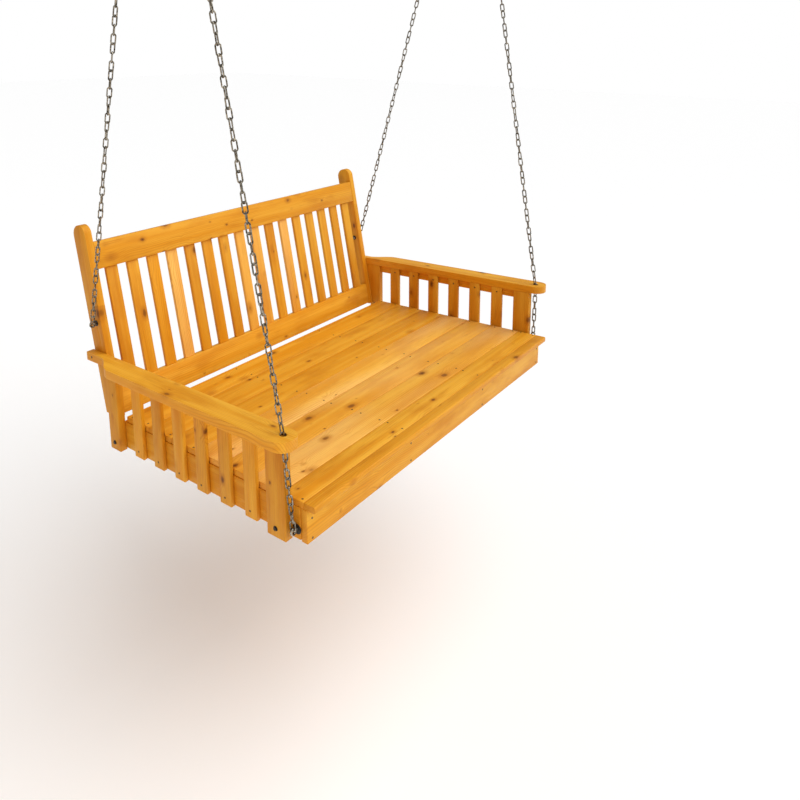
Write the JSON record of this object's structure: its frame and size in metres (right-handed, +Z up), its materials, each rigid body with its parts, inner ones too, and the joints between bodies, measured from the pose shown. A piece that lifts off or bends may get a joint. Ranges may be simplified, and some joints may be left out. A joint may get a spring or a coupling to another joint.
{
  "type": "porch swing bed",
  "caption": "Deep slatted wooden porch swing bed with back and arms, hung on chains from ceiling hangers, free to swing forwards and backwards.",
  "frame": {"origin": "on the ceiling, midway between the two ceiling hangers' top faces", "axes": "+X to the right of someone looking at the seat from the front, +Y from the seat's open front towards its back, +Z up"},
  "size_m": [2.168, 1.3322, 3.0199],
  "materials": {
    "stained_cedar": "satin",
    "zinc_steel": "satin"
  },
  "bodies": {
    "hangers": {"ceiling_hanger_left": "zinc_steel", "ceiling_hanger_right": "zinc_steel"},
    "swing": {"arm_left": "stained_cedar", "arm_post_front_left": "stained_cedar", "arm_post_front_right": "stained_cedar", "arm_post_rear_left": "stained_cedar", "arm_post_rear_right": "stained_cedar", "arm_right": "stained_cedar", "arm_slat_left_1": "stained_cedar", "arm_slat_left_2": "stained_cedar", "arm_slat_left_3": "stained_cedar", "arm_slat_left_4": "stained_cedar", "arm_slat_left_5": "stained_cedar", "arm_slat_left_6": "stained_cedar", "arm_slat_right_1": "stained_cedar", "arm_slat_right_2": "stained_cedar", "arm_slat_right_3": "stained_cedar", "arm_slat_right_4": "stained_cedar", "arm_slat_right_5": "stained_cedar", "arm_slat_right_6": "stained_cedar", "back_post_left": "stained_cedar", "back_post_right": "stained_cedar", "back_rail_bottom": "stained_cedar", "back_rail_top": "stained_cedar", "back_slat_01": "stained_cedar", "back_slat_02": "stained_cedar", "back_slat_03": "stained_cedar", "back_slat_04": "stained_cedar", "back_slat_05": "stained_cedar", "back_slat_06": "stained_cedar", "back_slat_07": "stained_cedar", "back_slat_08": "stained_cedar", "back_slat_09": "stained_cedar", "back_slat_10": "stained_cedar", "back_slat_11": "stained_cedar", "back_slat_12": "stained_cedar", "back_slat_13": "stained_cedar", "back_slat_14": "stained_cedar", "back_slat_15": "stained_cedar", "back_slat_16": "stained_cedar", "chain_front_left": "zinc_steel", "chain_front_right": "zinc_steel", "chain_rear_left": "zinc_steel", "chain_rear_right": "zinc_steel", "deck_board_1": "stained_cedar", "deck_board_2": "stained_cedar", "deck_board_3": "stained_cedar", "deck_board_4": "stained_cedar", "deck_board_5": "stained_cedar", "deck_board_6": "stained_cedar", "deck_board_7": "stained_cedar", "deck_nosing": "stained_cedar", "front_apron": "stained_cedar", "middle_joist_left": "stained_cedar", "middle_joist_right": "stained_cedar", "rear_rail": "stained_cedar", "side_rail_left": "stained_cedar", "side_rail_right": "stained_cedar"}
  },
  "joints": [
    {"name": "swing_pivot", "type": "hinge", "parent": "hangers", "child": "swing", "pos_m": [0, 0, -0.038], "axis": [1, 0, 0], "range_deg": [-20, 20]}
  ]
}
